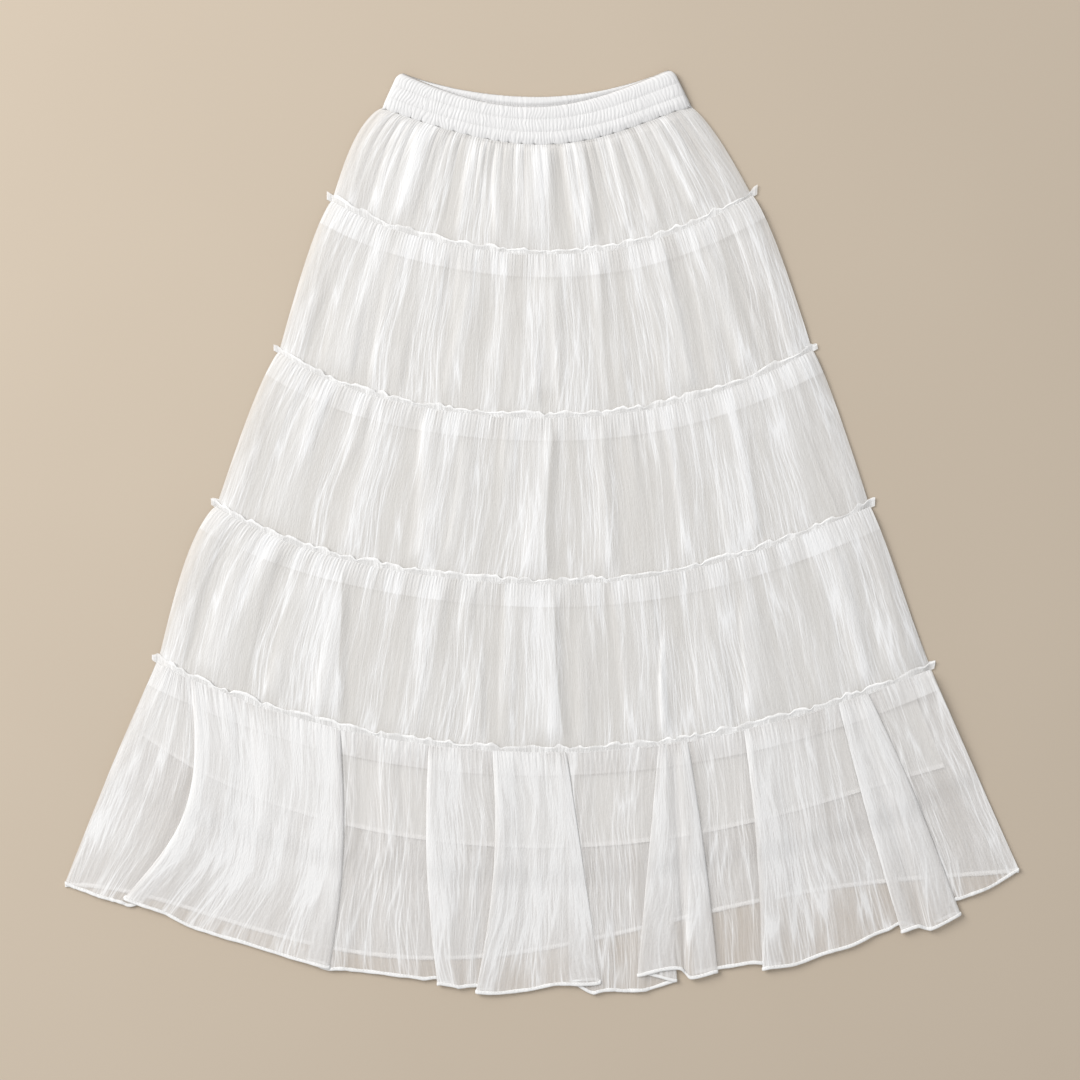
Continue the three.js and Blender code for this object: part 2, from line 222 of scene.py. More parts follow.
def sheer_cloth(name, deep, pale, thinnest, lines=1.0):
    """Crinkled sheer cloth: deep and pale are its colours where the paleness it reads is low and
    high. That paleness is higher on creases, gathers and layers lying double, and in places holds
    painted highlight and painted shade. Thinnest is its opacity where that paleness is lowest, and
    lines the strength of the finest creases, which are too thin for the mesh."""
    cloth = Finish(name)
    place = cloth.add("ShaderNodeUVMap", {"uv_map": "cloth"}, {})
    paleness = cloth.add(
        "ShaderNodeAttribute", {"attribute_name": "cloth_paleness"}, {}, output="Fac")

    bent = place
    for scale, reach in ((8.0, 0.016), (40.0, 0.0011)):  # long leans and short wavers
        waver = cloth.add(
            "ShaderNodeTexNoise", {"noise_dimensions": "2D"},
            {"Vector": place, "Scale": scale, "Detail": 1.0}, output=1)
        bent = cloth.add("ShaderNodeVectorMath", {"operation": "MULTIPLY_ADD"}, {
            0: waver, 1: (reach, 0, 0), 2: bent})

    def stretched(kind, settings, across, down, turn, sockets):
        """A texture drawn out along the cloth: this many cells a metre across and down it,
        turned a little from the thread."""
        scaled = cloth.add("ShaderNodeMapping", {"vector_type": "TEXTURE"}, {
            "Vector": bent, "Rotation": (0, 0, turn), "Scale": (1 / across, 1 / down, 1)})
        return cloth.add(kind, settings, {"Vector": scaled, "Scale": 1.0, **sockets})

    def threads(across, down, turn, narrow):
        """Thin bright threads that branch and join: the edges of long cells."""
        edge = stretched(
            "ShaderNodeTexVoronoi",
            {"voronoi_dimensions": "2D", "feature": "DISTANCE_TO_EDGE"}, across, down, turn, {})
        return (1 - edge * narrow).held() ** 2

    noise = ("ShaderNodeTexNoise", {"noise_dimensions": "2D"})
    crowd = (stretched(*noise, 44, 5, 0.03, {"Detail": 1.0}) * 5.0 - 2.1).held()
    weave = stretched(*noise, 560, 40, 0.0, {"Detail": 1.0}) - 0.5
    long = threads(150, 8, 0.06, 5.5) * (crowd * 0.65 + 0.2)
    fine = threads(360, 18, -0.05, 2.6) * (crowd * 0.65 + 0.12)
    lit = (long * 0.75 + fine * 0.55 + crowd * 0.16 + weave * 0.42) * lines
    share = (paleness + lit).held()
    opacity = (thinnest + share * (0.75 * (1 - thinnest))).held()
    yarns = cloth.add(
        "ShaderNodeVectorMath", {"operation": "MULTIPLY"}, {0: place, 1: (900, 260, 1)})
    slubs = cloth.add(
        "ShaderNodeTexNoise", {"noise_dimensions": "2D"},
        {"Vector": yarns, "Scale": 1.0, "Detail": 0.0})
    uneven = cloth.add(
        "ShaderNodeBump", {}, {"Height": slubs, "Strength": 0.5, "Distance": 0.0004})
    woven = cloth.add("ShaderNodeBsdfPrincipled", {}, {
        "Base Color": cloth.blend(share, deep, pale), "Alpha": opacity,
        "Roughness": 0.92 - share * 0.2, "Normal": uneven, "Specular IOR Level": 0.2})
    return cloth.show(woven)


back_cloth = sheer_cloth(
    "back cloth", (0.82, 0.80, 0.77, 1), (0.90, 0.895, 0.885, 1), thinnest=0.62)

for number, (top, bottom) in enumerate(zip(BACK_LINES, BACK_LINES[1:]), start=1):
    s = np.linspace(0, 1, 200 + 40 * number)[None, :]
    t = np.linspace(0, 1, 34)[:, None]
    x, y = fan(top, bottom, s, t)
    width = top[1] - top[0]
    across = width * BACK_FULLNESS * s + 0 * t
    down = (t + 0 * s) * (top[2][0] - bottom[2][0])
    height, share = crinkles(across, down, 900 + number)
    piece = lay_cloth(
        f"tier_{number}_back_cloth", x, y, BACK_HEIGHT + 0.35 * height, across, down,
        0.15 + 0.6 * share)
    piece.data.materials.append(back_cloth)
    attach(piece, "root")
    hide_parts(f"tier_{number}_back")
    ruffle = []
    if number > 1:  # the edge left above the gathering stitches, pressed flat on the surface
        end = HEADING_OVERHANG / width
        s = np.linspace(-end, 1 + end, 60 * number + 180)[None, :]
        up = np.linspace(1, 0, 5)[:, None]
        x, y = read_line(top, s)
        wave = wandering(s * width / 8, 0 * s, 950 + number) * up
        ruffle = [lay_cloth(
            f"heading_{number - 1}_back_ruffle", x, y + HEADING_HEIGHT * up + 0.8 * wave,
            0.25 + 0.15 * wave, s * width * 1.3, HEADING_HEIGHT * up, 0.8)]
        ruffle[0].data.materials.append(back_cloth)
        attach(ruffle[0], "root")
        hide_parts(f"heading_{number - 1}_back")


# Lining
# A plain A-line tube of thin white cloth, hung from the waist seam inside the tiers. Its hem
# is turned up once and shows through the bottom tier as a thin pale line.

LINING_TOP = (-136, 127, (394, 379, 371, 371, 379, 394))
LINING_HEM = (-382, 387, (-196, -271, -300, -300, -271, -226))
LINING_HEM_DEPTH = 4.5
LINING_HEIGHTS = {"back": (1.9, 1.55), "front": (3.2, 2.25)}  # at the waist and at the hem
LINING_WIDTH, LINING_LENGTH = 520, 640

lining = Finish("lining cloth")
paleness = lining.add("ShaderNodeAttribute", {"attribute_name": "cloth_paleness"}, {}, output="Fac")
lining_cloth = lining.show(lining.add("ShaderNodeBsdfPrincipled", {}, {
    "Base Color": lining.blend(paleness, (0.82, 0.815, 0.795, 1), (1.0, 0.995, 0.985, 1)),
    "Roughness": 0.8, "Specular IOR Level": 0.2}))

for side, (high, low) in LINING_HEIGHTS.items():
    s = np.linspace(0, 1, 160)[None, :]
    t = np.concatenate([np.linspace(0, 0.985, 70), np.linspace(0.988, 1, 6)])[:, None]
    x, y = fan(LINING_TOP, LINING_HEM, s, t)
    across, down = LINING_WIDTH * s + 0 * t, LINING_LENGTH * t + 0 * s
    waves = 0.25 * wandering(across / 30, down / 160, 41) - 0.15
    in_hem = smooth((down - (LINING_LENGTH - LINING_HEM_DEPTH)) / 1.5)
    z = high + (low - high) * smooth((down - 540) / 90)
    z = z + waves * smooth((LINING_LENGTH - down) / 60) + 0.2 * in_hem
    piece = lay_cloth(f"lining_{side}_cloth", x, y, z, across, down, in_hem)
    piece.data.materials.append(lining_cloth)
    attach(piece, "root")
    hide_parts(f"lining_{side}")


# Front headings
# The ruffled edge of a tier's own cloth, left above its gathering row: drawn up tight at the
# stitches, and free to wave in and out along its upper edge.

FRONT_LINES = [  # left end, right end, then six evenly spaced heights
    (-153, 143, (406, 386, 373, 372, 386, 407)),
    (-201, 202, (317, 283, 268, 267, 284, 322)),
    (-252, 260, (172, 127, 111, 111, 130, 174)),
    (-312, 315, (24, -27, -47, -48, -24, 24)),
    (-368, 372, (-125, -182, -208, -208, -182, -132)),
    (-457, 458, (-338, -406, -436, -429, -400, -325)),
]
FRONT_HEIGHT = 4.7
SIDE_HEIGHT = 1.2
SIDE_CURVE = 18  # width over which the front curves down to each side fold
OVER_STEP = 1.6  # the top of a tier lies over the hidden lower edge of the tier above


def side_slope(s, width, height):
    """Height of the front, which curves down to the side folds by a quarter sine."""
    from_side = np.minimum(s, 1 - s) * width
    curve = np.sin(0.5 * np.pi * np.clip(from_side / SIDE_CURVE, 0, 1))
    return SIDE_HEIGHT + (height - SIDE_HEIGHT) * curve


heading_cloth = sheer_cloth(
    "heading cloth", (0.80, 0.79, 0.775, 1), (0.97, 0.965, 0.955, 1), thinnest=0.6)

# White sewing thread, in machine stitches
STITCH_PITCH, STITCH_LENGTH, STITCH_THICK = 3.2, 2.5, 0.45
thread = Finish("sewing thread")
place = thread.add("ShaderNodeTexCoord", {}, {}, output="Object")
twist = thread.add("ShaderNodeTexNoise", {}, {"Vector": place, "Scale": 900.0, "Detail": 1.0})
thread_finish = thread.show(thread.add("ShaderNodeBsdfPrincipled", {}, {
    "Base Color": thread.blend(twist, (0.70, 0.69, 0.68, 1), (0.93, 0.925, 0.915, 1)),
    "Roughness": 0.45, "Specular IOR Level": 0.4}))


def stitch_row(name, path, pitch=STITCH_PITCH, length=STITCH_LENGTH, in_sight=None):
    """A row of machine stitches: at every pitch along the path lies a thread, a slim octahedron
    from length / 2 before to length / 2 after, half sunk in the cloth. Where in_sight, given for
    each point of the path, is under a half, there is none."""
    steps = np.linalg.norm(np.diff(path, axis=0), axis=1)
    run = np.concatenate([[0], np.cumsum(steps)])
    middle = np.arange(pitch, run[-1] - pitch, pitch)
    if in_sight is not None:
        middle = middle[np.interp(middle, run, in_sight) > 0.5]
    back, front = (
        np.stack([np.interp(middle + reach, run, path[:, k]) for k in range(3)], axis=-1)
        for reach in (-length / 2, length / 2))
    up = np.array([0, 0, STITCH_THICK / 2])
    along = (front - back) / np.linalg.norm(front - back, axis=1)[:, None]
    aside = np.cross(along, up)
    centre = (back + front) / 2
    corners = np.stack(
        [back - up, front - up, centre + aside, centre + up, centre - aside, centre - up], axis=1)
    one = np.array([
        (0, 2, 3), (0, 3, 4), (0, 4, 5), (0, 5, 2), (1, 3, 2), (1, 4, 3), (1, 5, 4), (1, 2, 5)])
    faces = (6 * np.arange(len(middle))[:, None, None] + one).reshape(-1, 3)
    mesh = bpy.data.meshes.new(name)
    mesh.from_pydata(corners.reshape(-1, 3) / 1000, [], faces)
    mesh.shade_smooth()
    mesh.materials.append(thread_finish)
    row = bpy.data.objects.new(name, mesh)
    bpy.context.scene.collection.objects.link(row)
    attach(row, "root")
    return row


for number in range(1, 5):
    line = FRONT_LINES[number]
    width = line[1] - line[0]
    end = HEADING_OVERHANG / width
    s = np.linspace(-end, 1 + end, int(width * 1.5))[None, :]
    up = np.array([-0.3, 0, 0.25, 0.45, 0.55, 0.68, 0.82, 0.95, 1.05, 1.1])[:, None]
    x, y = read_line(line, s)
    across = s * width + 0 * up
    bend = 1.2 * wandering(across / 11, 0 * across, 700 + number)
    bend = bend + 1.5 * wandering(across / 5, 0 * across, 720 + number)
    dash = smooth(0.45 + 0.9 * wandering(across / 8, 0 * across, 710 + number))
    lip = np.sin(np.pi * np.clip((up - 0.6) / 0.5, 0, 1)) ** 0.8
    frill = np.abs(np.sin(np.pi * (across + 3.0 * bend) / 4.3)) * (1 - 0.5 * up)
    lean = wandering(across / 8, 0 * across, 730 + number)
    ruffle_x = x + 0.8 * lean * up
    ruffle_y = y + HEADING_HEIGHT * up + 1.3 * bend * np.clip(up, 0, 1)
    lift = FRONT_HEIGHT + OVER_STEP + 0.2
    patchy = 0.5 + 0.5 * wandering(across / 17, 0 * across, 740 + number)
    z = side_slope(np.clip(s, 0, 1), width, lift) + 0.3 * frill * patchy
    z = z + (0.5 + 0.5 * lean) * np.clip(up, 0, 1) + (0.12 + 0.5 * dash) * lip
    # the ruffle is drawn paler on the crests of its frills, a painted highlight, and in dashes along its
    # rim
    bright = 0.22 + 0.22 * frill * (1 - lip) * patchy + (0.25 + 0.75 * dash) * lip
    ruffle = lay_cloth(
        f"heading_{number}_front_ruffle", ruffle_x, ruffle_y, z, across * 1.3, 10 * up, bright)
    ruffle.data.materials.append(heading_cloth)
    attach(ruffle, "root")
    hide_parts(f"heading_{number}_front")
    row = np.stack([ruffle_x[1], ruffle_y[1], z[1] + 0.1], axis=-1)
    stitch_row(f"gathering_{number}_front_stitches", row)


# Front of tiers 1 to 4
# Gathered bands of the same crinkled cloth. Folds start at each gathering row, fan out down the
# tier and die out above the next seam, where the lower edge lies behind the next tier.

FLAP = 22  # a tier's lower edge, tucked behind the next tier, where it shows as a band
BAND_ROWS = [  # the mesh's rows down that band, closest at its lower edge
    0, 0.8, 1.8, 3, 4.5, 6.5, 8.5, 10.5, 12.5, 14.5, 16.5, 18.5, 20.2, 21.2, 21.8, 22.4, 23.2, 24.8]
FRONT_FULLNESS = 1.12  # cloth across the front for each mm laid
# By tier: how far the sides swell left and right, the gathers' pitch, reach and depth, the soft
# folds' height, the share of it and of the standing folds' that is kept, the mesh's columns, and
# the cut in metres
TIERS = [
    {"swell": (10, 6), "pitch": 17, "reach": 46, "depth": 1.5,
     "soft": 2.6, "relief": 0.5, "columns": 560, "cut": (0.45, 0.135)},
    {"swell": (5, 5), "pitch": 9, "reach": 16, "depth": 0.45,
     "soft": 2.4, "relief": 0.55, "columns": 700, "cut": (0.58, 0.19)},
    {"swell": (5, 3), "pitch": 9, "reach": 16, "depth": 0.45,
     "soft": 2.4, "relief": 0.5, "columns": 860, "cut": (0.73, 0.19)},
    {"swell": (10, 2), "pitch": 9, "reach": 16, "depth": 0.45,
     "soft": 2.6, "relief": 0.5, "columns": 1020, "cut": (0.88, 0.195)},
]
# Folds that stand out, by tier: place of the crest across the tier at its top and bottom, width
# on its left and right in mm, height, and where down the tier it starts and ends
STANDING_FOLDS = [
    [
        (-114, -140, 9, 12, 2.4, 0.02, 1.0), (-92, -108, 6, 9, 2.0, 0.0, 0.8),
        (-60, -84, 6, 12, 2.6, 0.0, 0.95), (-41, -45, 5, 10, 2.4, 0.0, 1.0),
        (3, -10, 16, 20, 3.0, 0.0, 1.05), (37, 48, 9, 6, 2.6, 0.0, 0.95),
        (63, 88, 8, 5, 2.4, 0.0, 0.9), (82, 118, 12, 6, 2.6, 0.0, 1.0),
        (106, 156, 10, 6, 2.2, 0.0, 0.9),
    ],
    [
        (-150, -190, 24, 30, 2.2, 0.0, 1.0), (-62, -92, 8, 16, 1.8, 0.1, 1.0),
        (-24, -50, 14, 12, 1.6, 0.25, 1.1), (16, 10, 34, 5, 2.4, 0.1, 0.9),
        (52, 66, 10, 4, 1.8, 0.0, 1.0), (112, 150, 14, 10, 2.0, 0.0, 1.0),
        (160, 196, 12, 8, 1.8, 0.1, 1.0),
    ],
    [
        (-215, -262, 22, 30, 2.0, 0.0, 1.0), (-150, -188, 16, 20, 2.0, 0.0, 1.0),
        (-108, -124, 8, 26, 2.4, 0.0, 1.0), (-70, -92, 6, 14, 1.6, 0.1, 0.9),
        (8, 4, 40, 3, 2.8, 0.05, 1.05), (60, 62, 14, 6, 1.6, 0.0, 1.0),
        (118, 140, 6, 12, 1.8, 0.0, 1.0), (176, 214, 12, 8, 2.2, 0.0, 0.95),
    ],
    [
        (-268, -330, 18, 28, 2.0, 0.0, 1.0), (-222, -262, 16, 20, 1.8, 0.1, 1.0),
        (-194, -193, 52, 3, 3.4, 0.05, 1.1), (-110, -112, 14, 26, 1.8, 0.0, 1.0),
        (8, 22, 56, 3, 3.4, 0.05, 1.1), (114, 118, 4, 12, 3.4, 0.3, 1.1),
        (192, 197, 4, 20, 2.0, 0.2, 1.1), (282, 313, 18, 10, 2.4, 0.05, 1.1),
    ],
]


def standing_folds(folds, x, t):
    """(height in mm, share) of the folds that stand out. Each crest runs from its place at the
    top to its place at the bottom, straying 2 mm by a sine, and drops by a smooth step over its
    left width and over its right width and 8 mm more. It rises from its start over a fifth of
    the tier. The share is paler where the cloth lies double: about 1 on the fold. For 26 mm to
    the right of an edge narrower than 10 mm it falls below 0, a painted shade on the side away
    from the light."""
    total, fold_paleness = np.zeros(np.broadcast(x, t).shape), np.zeros(np.broadcast(x, t).shape)
    for at_top, at_bottom, left, right, height, start, end in folds:
        off = x - (at_top + (at_bottom - at_top) * t) - 2.0 * np.sin(5 * t + at_top)
        rise = np.where(off < 0, smooth(1 + off / left), smooth(1 - off / (right + 8)))
        tone = np.where(off < 0, smooth(1 + off / left), smooth(1 - off / (right - 1)))
        # painted shade: drawn darker for 26 mm right of a crisp edge, on the side away from the light
        painted_edge_shade = np.where(off > 0, smooth(1 - off / 26), 0) * (right < 10)
        lasting = smooth((t - start) / 0.2 + 0.15) * smooth((end - t) / 0.12)
        total += height * rise * lasting
        fold_paleness += (tone - 0.6 * painted_edge_shade * (1 - tone)) * lasting * height / 2.4
    return total, fold_paleness


def gathers(across, down, pitch, reach, seed, depth):
    """(height in mm, share) of the small pleats drawn up by the gathering stitches: ripples
    under 4 mm apart at the stitches that merge within 10 mm into rounded puffs pitch apart,
    which are depth high and die out over reach. The share follows the height: it is paler on the
    crests of the ripples and puffs, a painted highlight, and paler close to the stitches, where
    the cloth is gathered tightest."""
    bent = across + 2.5 * wandering(across / 14, 0 * across, seed)
    tight = np.abs(np.sin(np.pi * bent / 3.7)) ** 0.8
    puff = np.abs(np.sin(np.pi * (bent / pitch + 0.9 * wandering(bent / 29, 0 * bent, seed + 1)))) ** 0.6
    near = np.exp(-((down / 15) ** 2))
    far = smooth(down / 7) * np.exp(-down / reach)
    # the share paints a highlight on the crests of the ripples and puffs
    return 0.45 * tight * near + depth * puff * far, 0.45 * tight * near + 0.3 * puff * far


front_cloth = sheer_cloth(
    "front cloth", (0.79, 0.766, 0.732, 1), (0.922, 0.92, 0.917, 1), thinnest=0.65)

for number, tier in enumerate(TIERS, start=1):
    top, bottom, below = FRONT_LINES[number - 1:number + 2]
    length = np.mean(top[2]) - np.mean(bottom[2])
    next_length = np.mean(bottom[2]) - np.mean(below[2])
    s = np.linspace(0, 1, tier["columns"])[None, :]
    t = np.concatenate([BAND_ROWS, np.linspace(27, length, 34)])[:, None] / length
    flap = np.linspace(0.14, 1, 7)[:, None] * FLAP
    x, y = fan(top, bottom, s, t, tier["swell"])
    next_swell = TIERS[number]["swell"] if number < 4 else (2, 0)
    x_flap, y_flap = fan(bottom, below, s, flap / next_length, next_swell)
    x, y = np.vstack([x, x_flap]), np.vstack([y, y_flap])
    t = np.vstack([t, 1 + flap / length])
    down = t * length + 0 * s
    width = (bottom[1] - bottom[0]) * FRONT_FULLNESS
    across = s * width + 0 * t
    lying = smooth((1 - t) * length / 26)  # 0 along the lower seam and on the flap
    over = OVER_STEP * (1 - smooth((down - 12) / 100)) if number > 1 else 0.6
    wrinkle, creased = crinkles(across, down, 10 * number)
    drawn, pale_share = gathers(
        across, down, tier["pitch"], tier["reach"], 500 + number, tier["depth"])
    soft = tier["soft"] * smooth(0.5 + 0.9 * wandering(across / 17, down / 150, 300 + number))
    big, fold_paleness = standing_folds(STANDING_FOLDS[number - 1], x, t)
    rising = smooth(down / (22 if number > 1 else 8))
    relief = tier["relief"] * (soft * rising + big) * lying
    relief = relief + wrinkle * (0.45 + 0.55 * lying) + drawn
    z = side_slope(s, (bottom[1] - bottom[0]), FRONT_HEIGHT) + over + relief * side_slope(s, 900, 1)
    # paler on creases, gathers and folds lying double; the gathers' and folds' shares also hold painted
    # highlight and painted shade, and the soft folds are painted paler where they stand high and darker
    # where they sink
    paleness = 0.04 + 0.24 * creased + 0.22 * pale_share + 0.36 * fold_paleness * lying + 0.07 * (soft - 1)
    # the hidden lower edge of the tier above shows through as a pale band
    band = 0.23 + 0.17 * wandering(across / 19, 0 * down, 600 + number)
    band = band * smooth((FLAP - down) / 1.2)
    paleness = paleness + (band if number > 1 else 0.12 * smooth((0.3 - s) / 0.2))
    paleness = paleness + 0.09 * smooth((s - 0.6) / 0.2) * (number > 2)  # fuller at the right
    piece = lay_cloth(f"tier_{number}_front_cloth", x, y, z, across, down, paleness)
    piece.data.materials.append(front_cloth)
    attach(piece, "root")
    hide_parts(f"tier_{number}_front")


# Front of the bottom tier
# The widest tier, laid in loose pleats. Each pleat is a real turn of the cloth, so layers show
# through one another where they overlap.

LAYER = 0.7  # from one layer of a laid pleat to the next
# Laid pleats, left to right: where the folded edge starts and ends, how far it strays right half
# way down, which way it points, the cloth tucked under it at the seam and the hem, and how far
# the hem of the layer under it and over it lies above the smooth line of the hem. Hidden is the
# same for the turn inside, which is otherwise 2.5 mm higher than the layer over it.
PLEATS = [
    {"top": -336, "hem": -400, "bow": 28, "faces": -1, "tuck": (3, 18), "under": 3, "over": 10},
    {"top": -193, "hem": -203, "bow": 8, "faces": 1, "tuck": (4, 22), "under": 2, "over": 6},
    {"top": -108, "hem": -100, "bow": -6, "faces": -1, "tuck": (3, 12), "under": 9, "over": 1},
    {"top": -47, "hem": -63, "bow": 9, "faces": -1, "tuck": (4, 16), "under": 5, "over": -4},
    {"top": 24, "hem": 57, "bow": 0, "faces": 1, "tuck": (4, 30), "under": -12, "over": 1},
    {"top": 112, "hem": 92, "bow": 0, "faces": -1, "tuck": (4, 38), "under": -12, "over": 4,
     "hidden": -6},
    {"top": 140, "hem": 169, "bow": 2, "faces": 1, "tuck": (4, 22), "under": 2, "over": -3},
    {"top": 194, "hem": 212, "bow": 3, "faces": -1, "tuck": (3, 18), "under": 0, "over": -7},
    {"top": 284, "hem": 345, "bow": -2, "faces": -1, "tuck": (3, 12), "under": 7, "over": -3},
    {"top": 313, "hem": 402, "bow": 2, "faces": 1, "tuck": (4, 24), "under": 12, "over": -9},
]
BOTTOM_COLUMNS = 1280
HIDDEN_STEP = 0.35  # share of the crinkles' height left where the cloth is pressed in a pleat


def pleat_stations(pleat, t):
    """Rows of (x, level, hem offset, exposed, layers under it) across one laid pleat. The cloth
    runs in under the fold, turns back on itself at the end of the tuck, comes out to the folded
    edge, and turns again to run on over the top. Its hem slips up out of sight as it goes in."""
    edge = pleat["top"] + (pleat["hem"] - pleat["top"]) * t + pleat["bow"] * np.sin(np.pi * t)
    tuck = pleat["tuck"][0] + (pleat["tuck"][1] - pleat["tuck"][0]) * t
    inward = -pleat["faces"]
    under, over = pleat["under"], pleat["over"]
    hidden = pleat.get("hidden", over + 2.5)
    path = [
        (tuck * 0.4, 0.0, 0.65 * under + 0.35 * hidden, 0.3), (tuck - 1.0, 0.0, hidden, 0.0),
        (tuck + 0.2, 0.5, hidden, 0.0), (tuck - 1.0, 1.0, hidden, 0.0),
        (1.6 + 0 * tuck, 1.0, over + 1.5, 0.0), (0.45 + 0 * tuck, 1.1, over + 0.6, 0.0),
        (0 * tuck, 1.5, over, 0.2), (0.45 + 0 * tuck, 1.9, over, 0.4),
        (2.6 + 0 * tuck, 2.15, over, 0.8), (tuck + 5, 2.0, over, 1.0),
    ]
    stations = [
        (edge + inward * depth, level, hem, shown, level) for depth, level, hem, shown in path]
    return stations if pleat["faces"] < 0 else stations[::-1]


def bottom_stations(t, left, right):
    """All stations across the tier, with five in the loose cloth between two pleats, where it
    sinks from the pleat's upper layer to the lining and rises again."""
    flat = [(left, 0.0, 0.0, 0.6, 1.9), (left + 8, 0.0, 0.0, 1.0, 1.9)]
    groups = [flat] + [pleat_stations(pleat, t) for pleat in PLEATS]
    groups.append([(right - 8, 0.0, 0.0, 1.0, 0.55), (right, 0.0, 0.0, 0.6, 0.55)])
    every = list(groups[0])
    for group in groups[1:]:
        before, after = every[-1], group[0]
        for i in range(1, 6):
            u = i / 6
            sunk = 1 - 0.8 * math.sin(math.pi * u)
            level = before[1] + (after[1] - before[1]) * float(smooth(u))
            every.append((
                before[0] + (after[0] - before[0]) * u, level * sunk + 0.25 * (i % 2),
                before[2] + (after[2] - before[2]) * u, 1.0,
                before[4] + (after[4] - before[4]) * u))
        every.extend(group)
    return every


def through_stations(at, where, values):
    """Values at the columns at: a smooth curve through each row's stations, which stand at
    where along the cloth. Slopes at a station are those of the line joining its neighbours."""
    slope = np.gradient(values, where, axis=1)
    k = np.clip(np.searchsorted(where, at) - 1, 0, len(where) - 2)
    gap = where[k + 1] - where[k]
    u = (at - where[k]) / gap
    before, after = values[:, k], values[:, k + 1]
    ease = u * u * (3 - 2 * u)
    bend = slope[:, k] * (u * (1 - u) ** 2) * gap - slope[:, k + 1] * (u * u * (1 - u)) * gap
    return before + (after - before) * ease + bend


top, bottom = FRONT_LINES[4:6]
length = np.mean(top[2]) - np.mean(bottom[2])
t = np.concatenate([BAND_ROWS, np.linspace(27, length, 56)])[:, None] / length
left = top[0] + (bottom[0] - top[0]) * t - 2 * np.sin(np.pi * t)
right = top[1] + (bottom[1] - top[1]) * t
# Each station's values down the tier, and from them those of every column of the mesh
stations = bottom_stations(t, left, right)
station_x = np.hstack([np.broadcast_to(station[0], t.shape) for station in stations])
station_level = np.array([[station[1] for station in stations]]) + 0 * t
station_hem = np.array([[station[2] for station in stations]]) + 0 * t
station_shown = np.array([[station[3] for station in stations]]) + 0 * t
station_layers = np.array([[station[4] for station in stations]]) + 0 * t
typical = np.hypot(np.diff(station_x[40]), LAYER * np.diff(station_level[40])) + 0.3
where = np.concatenate([[0], np.cumsum(typical)])
at = np.linspace(0, where[-1], BOTTOM_COLUMNS)
x = through_stations(at, where, station_x)
level = through_stations(at, where, station_level)
shown = np.clip(through_stations(at, where, station_shown), 0, 1)
hem_rise = through_stations(at, where, station_hem)
layers = through_stations(at, where, station_layers)
s = (x - left) / (right - left)
y = fan(top, bottom, s, t)[1] + hem_rise * smooth((t - 0.25) / 0.75) ** 1.5
y = y + 2.0 * wandering(at[None, :] / 21 + 0 * t, 0 * t + 0 * at, 77) * t**4 * (0.3 + 0.7 * shown)

across, down = at[None, :] + 0 * t, t * length + 0 * at
wrinkle, creased = crinkles(across, down, 60)
drawn, pale_share = gathers(across, down, 9, 16, 560, 0.6)
soft = 1.1 * smooth(0.5 + 0.9 * wandering(across / 19, down / 170, 61)) * smooth(down / 24)
on_lining = 1 - smooth((t - 0.47) / 0.12)
base = SIDE_HEIGHT + 0.9 + (FRONT_HEIGHT - SIDE_HEIGHT - 0.9) * on_lining
over = OVER_STEP * (1 - smooth((down - 12) / 100))
pressed = HIDDEN_STEP + (1 - HIDDEN_STEP) * shown
away = pressed * (wrinkle + drawn * smooth(1.2 - t)) + shown * soft
flat_z = side_slope(np.clip(s, 0, 1), right - left, 1) * base + over
flat_z = flat_z + LAYER * level * smooth(t / 0.12 + 0.2)
# The crinkles stand off the cloth's own slope, so that they turn over with it at a fold
step_x, step_z = np.gradient(x, axis=1), np.gradient(flat_z, axis=1)
steepness = np.hypot(step_x, step_z) + 1e-9
away_x, away_z = -step_z / steepness, step_x / steepness
facing = np.sign(away_z + 1e-9)
x = x + away * away_x * np.where(shown > 0.05, 1, 0)
z = flat_z + away * np.where(shown > 0.5, np.maximum(away_z, 0.3), 0.25 * facing)
z = np.maximum(z, 1.3)
# paler on creases and gathers; the gathers' share is partly a painted highlight on their crests, and the
# soft folds are painted paler where they stand high and darker where they sink
paleness = 0.10 + 0.2 * creased + 0.15 * pale_share + 0.04 * (soft - 0.55)
paleness = paleness + 0.07 * smooth((120 - x) / 60) + 0.05 * smooth((x - 230) / 60)
paleness = paleness - 0.05 * smooth((t - 0.7) / 0.3)  # spread out towards the hem
fold_paleness = 0.32 * (layers - 0.65) * (1 - 0.66 * smooth((t - 0.55) / 0.4))
paleness = paleness + fold_paleness * smooth(t / 0.16 + 0.25)
band = 0.22 + 0.18 * wandering(across / 15, 0 * down, 605)
paleness = np.minimum(paleness + band * smooth((FLAP - down) / 1.2), 0.75)

bottom_cloth = sheer_cloth(
    "bottom tier cloth", (0.83, 0.80, 0.77, 1), (0.928, 0.923, 0.915, 1), thinnest=0.43)
bottom_tier = lay_cloth("tier_5_front_cloth", x, y, z, across, down, paleness)
bottom_tier.data.materials.append(bottom_cloth)
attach(bottom_tier, "root")
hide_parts("tier_5_front")


# Hem of the bottom tier
# The lower edge rolled over twice and stitched: a narrow, dense, bright cord that follows every
# turn of the pleats.

HEM_HALF_HEIGHT = 1.8
HEM_HALF_THICKNESS = 0.65


